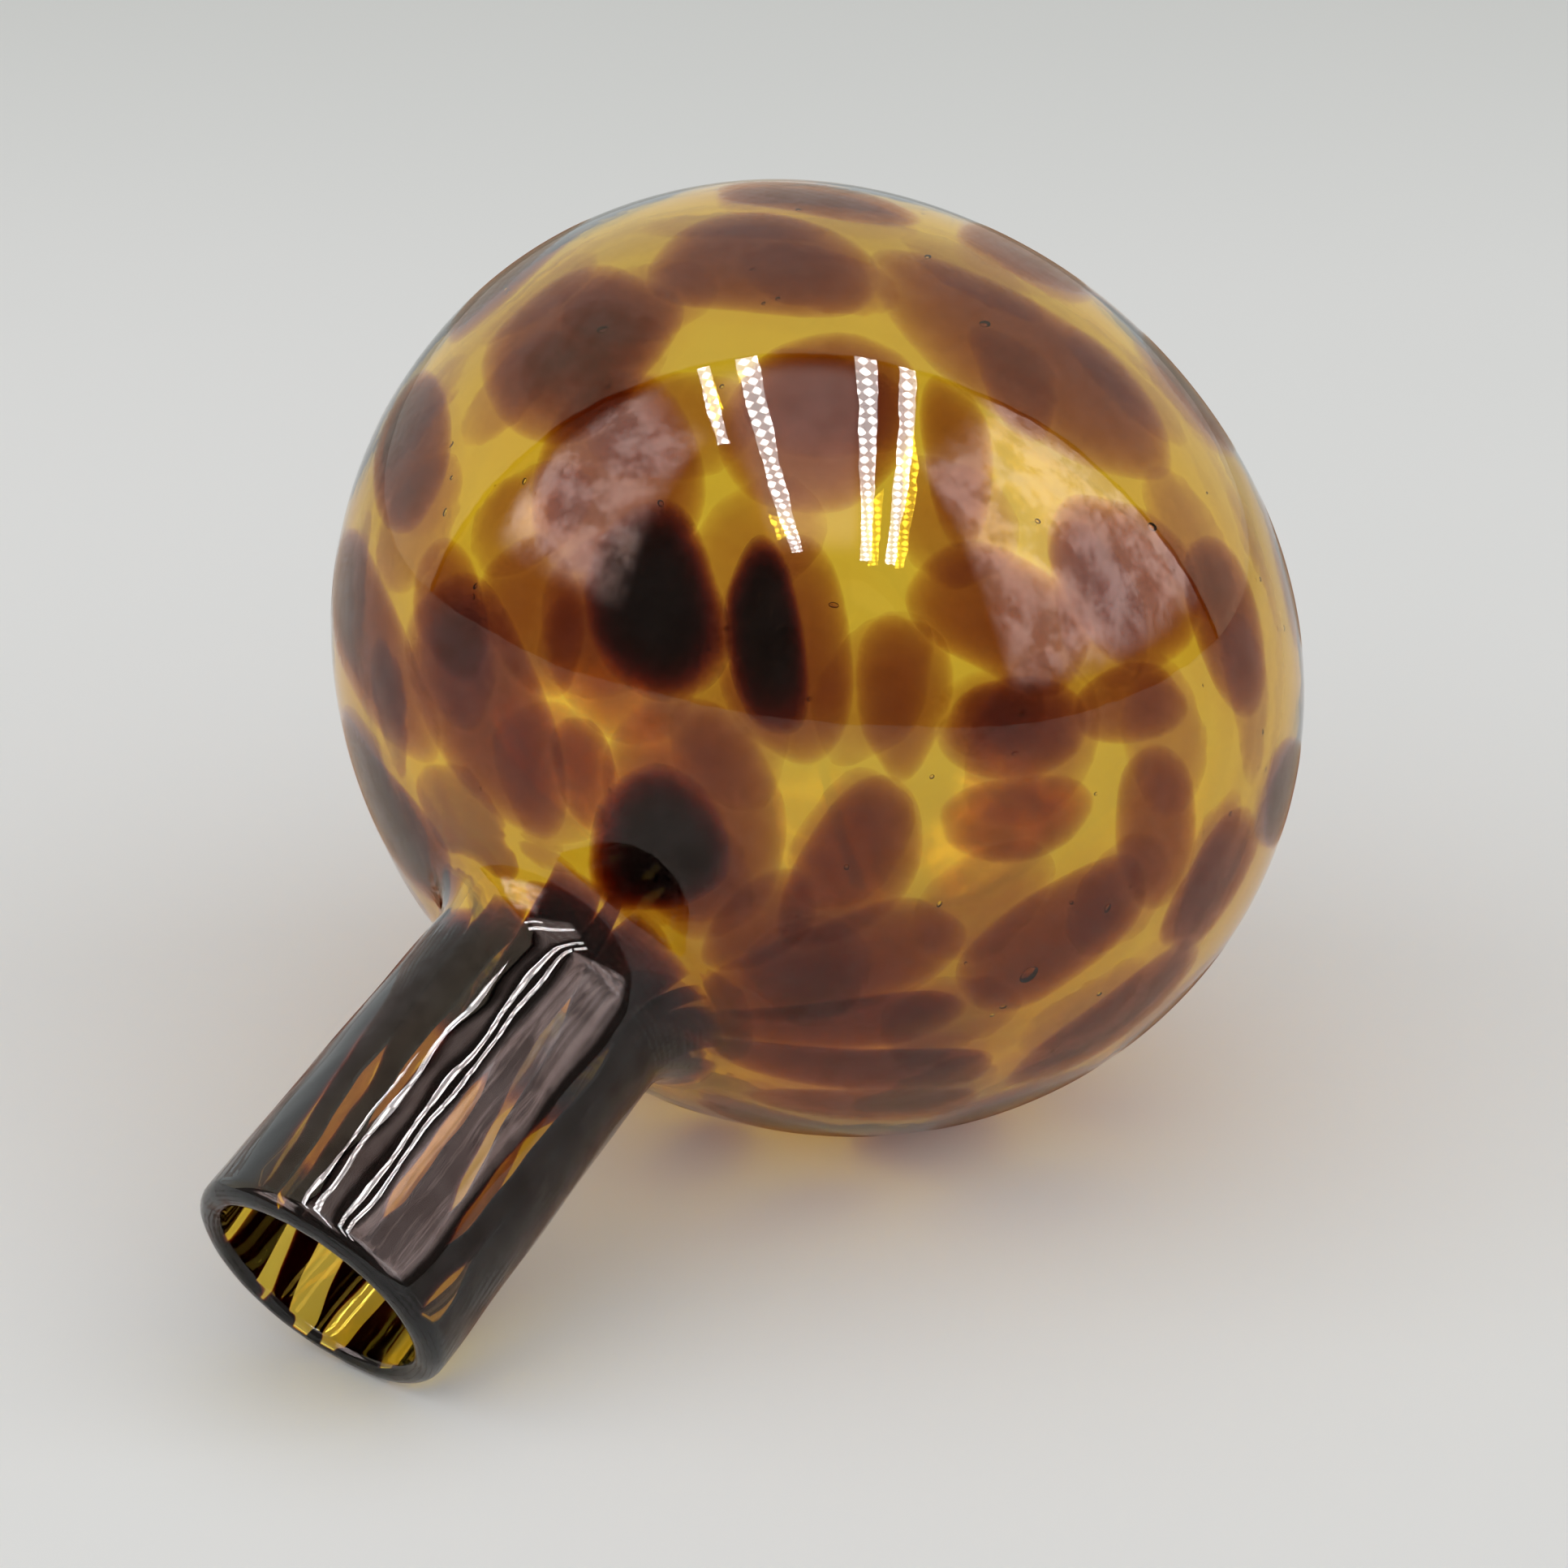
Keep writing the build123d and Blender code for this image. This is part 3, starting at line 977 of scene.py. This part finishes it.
TENT = (0.78, 0.82, 0.82, 1)
TENT_SIDE = (1.05, 0.96, 0.78, 1)
ROOM = (0.27, 0.235, 0.215, 1)
CLOTH = (5.4, 4.5, 4.4, 1)
ROOF = (2.3, 1.9, 1.8, 1)
inside = w.mix(cloth, ROOM, CLOTH)
inside = w.mix(roof, inside, ROOF)
tent_wall = w.mix(w.ramp(front, -0.75, -0.25), TENT, TENT_SIDE)
studio = w.mix(opening, tent_wall, inside)
studio = w.mix(w.math("MULTIPLY", hem, 0.92), studio, (0.02, 0.02, 0.02, 1))
BACKDROP = (0.60, 0.61, 0.60, 1)
# what lights the floor is softer and more even, as in a small tent whose walls pass the light on
EVEN = (0.22, 0.225, 0.225, 1)
FRONT_EVEN = (1.28, 1.28, 1.27, 1)
OVERHEAD = (0.80, 0.80, 0.80, 1)
GLOW = (3.3, 3.2, 1.5, 1)
floor_light = w.mix(w.ramp(height, 0.75, 0.95), w.mix(opening, EVEN, FRONT_EVEN), OVERHEAD)
light_path = w.add("ShaderNodeLightPath")
through_glass = w.math(
    "MAXIMUM", light_path.outputs["Is Glossy Ray"], light_path.outputs["Is Transmission Ray"]
)
from_floor = w.math("MINIMUM", light_path.outputs["Diffuse Depth"], 1.0)
glow = w.add("ShaderNodeMix", data_type="RGBA", blend_type="MULTIPLY")
glow.inputs[0].default_value = 1.0
w.link(floor_light, glow.inputs[6])
glow.inputs[7].default_value = GLOW
seen = w.mix(through_glass, floor_light, w.mix(from_floor, studio, glow.outputs[2]))
seen = w.mix(light_path.outputs["Is Camera Ray"], seen, BACKDROP)
background = w.add("ShaderNodeBackground")
w.link(seen, background.inputs["Color"])
world_out = w.add("ShaderNodeOutputWorld")
w.link(background.outputs[0], world_out.inputs["Surface"])

# strips of small lamps under the tent's roof, in roof heights over the bulb's centre: offset to the right,
# drift per height ahead, half width, and how far ahead the strip starts and ends
ROOF_HEIGHT = 0.300
LAMP_STRIPS = (
    (-0.385, -0.02, 0.026, 0.11, 0.5),
    (-0.235, 0.0, 0.036, 0.11, 1.28),
    (0.135, 0.05, 0.036, 0.11, 1.33),
    (0.275, 0.07, 0.032, 0.11, 1.33),
)
LAMP_SPACING = 0.020
DIMMEST, BRIGHTEST = 10.0, 48.0
lamp_material, n = new_material("lamp_strips")
lamp_out = n.add("ShaderNodeOutputMaterial")
lamp_light = n.add("ShaderNodeEmission")
lamp_place = n.add("ShaderNodeSeparateXYZ")
n.link(n.add("ShaderNodeTexCoord").outputs["Object"], lamp_place.inputs[0])
dots = n.math(
    "MULTIPLY",
    n.math("SINE", n.math("MULTIPLY", lamp_place.outputs["X"], 2 * math.pi / LAMP_SPACING)),
    n.math("SINE", n.math("MULTIPLY", lamp_place.outputs["Y"], 2 * math.pi / LAMP_SPACING)),
)
lamp_light.inputs["Color"].default_value = (0.97, 0.98, 1.0, 1)
# the floor has its own softer light, and the far wall doesn't mirror the lamps
lamp_path = n.add("ShaderNodeLightPath")
not_floor = n.math("SUBTRACT", 1.0, n.math("MINIMUM", lamp_path.outputs["Diffuse Depth"], 1.0))
near_wall = n.math("LESS_THAN", lamp_path.outputs["Transmission Depth"], 3.0)
shown = n.math("MULTIPLY", not_floor, near_wall)
strength = n.math("MULTIPLY", n.ramp(dots, -0.1, 0.5, DIMMEST, BRIGHTEST), shown)
n.link(strength, lamp_light.inputs["Strength"])
n.link(lamp_light.outputs[0], lamp_out.inputs["Surface"])
centre = np.array(CENTRE) * MM
to_front = np.array([math.sin(AZIMUTH), -math.cos(AZIMUTH), 0.0])
to_right = np.array([math.cos(AZIMUTH), math.sin(AZIMUTH), 0.0])
for k, (offset, drift, half_width, first, last) in enumerate(LAMP_STRIPS):
    corners = []
    for reach in (first, last):
        for side in (-1, 1):
            sideways = offset + drift * reach + side * half_width
            corners.append(
                centre + ROOF_HEIGHT * (to_front * reach + to_right * sideways + np.array([0.0, 0.0, 1.0]))
            )
    strip_mesh = bpy.data.meshes.new(f"lamp_strip_{k + 1}")
    strip_mesh.from_pydata([tuple(c) for c in corners], [], [(0, 1, 3, 2)])
    strip = bpy.data.objects.new(f"lamp_strip_{k + 1}", strip_mesh)
    scene.collection.objects.link(strip)
    strip.data.materials.append(lamp_material)
    strip.visible_camera = False
    strip.visible_diffuse = False
    strip.visible_shadow = False

# ---------------------------------------------------------------------------
# camera
# ---------------------------------------------------------------------------
# the photo's size, the focal length and the place of the bulb's centre are in the photo's own pixels
PHOTO = 1932
FOCAL = 4500.0
BULB_IN_PHOTO = (1005.5, 814.0)
DISTANCE = 442.2
SENSOR = 36.0
back = np.array(
    [math.sin(AZIMUTH) * math.cos(ELEVATION), -math.cos(AZIMUTH) * math.cos(ELEVATION), math.sin(ELEVATION)]
)
forward = -back
right = np.array([math.cos(AZIMUTH), math.sin(AZIMUTH), 0.0])
up = np.cross(right, forward)
offset_x = (BULB_IN_PHOTO[0] - PHOTO / 2) / FOCAL * DISTANCE
offset_y = -(BULB_IN_PHOTO[1] - PHOTO / 2) / FOCAL * DISTANCE
eye = CENTRE - (forward * DISTANCE + right * offset_x + up * offset_y)
camera_data = bpy.data.cameras.new("camera")
camera_data.sensor_width = SENSOR
camera_data.lens = FOCAL / PHOTO * SENSOR
camera_data.clip_start = 0.01
camera_data.clip_end = 50.0
camera = bpy.data.objects.new("camera", camera_data)
scene.collection.objects.link(camera)
camera.matrix_world = Matrix(
    (
        (right[0], up[0], back[0], eye[0] * MM),
        (right[1], up[1], back[1], eye[1] * MM),
        (right[2], up[2], back[2], eye[2] * MM),
        (0, 0, 0, 1),
    )
)
scene.camera = camera

scene.view_settings.view_transform = "Standard"
scene.cycles.max_bounces = 32
scene.cycles.transmission_bounces = 32
scene.cycles.glossy_bounces = 6
scene.cycles.diffuse_bounces = 2
scene.cycles.transparent_max_bounces = 16
scene.cycles.volume_bounces = 0
scene.cycles.caustics_reflective = True
scene.cycles.caustics_refractive = True
scene.cycles.sample_clamp_indirect = 60.0
scene.cycles.use_denoising = True

bpy.context.view_layer.update()
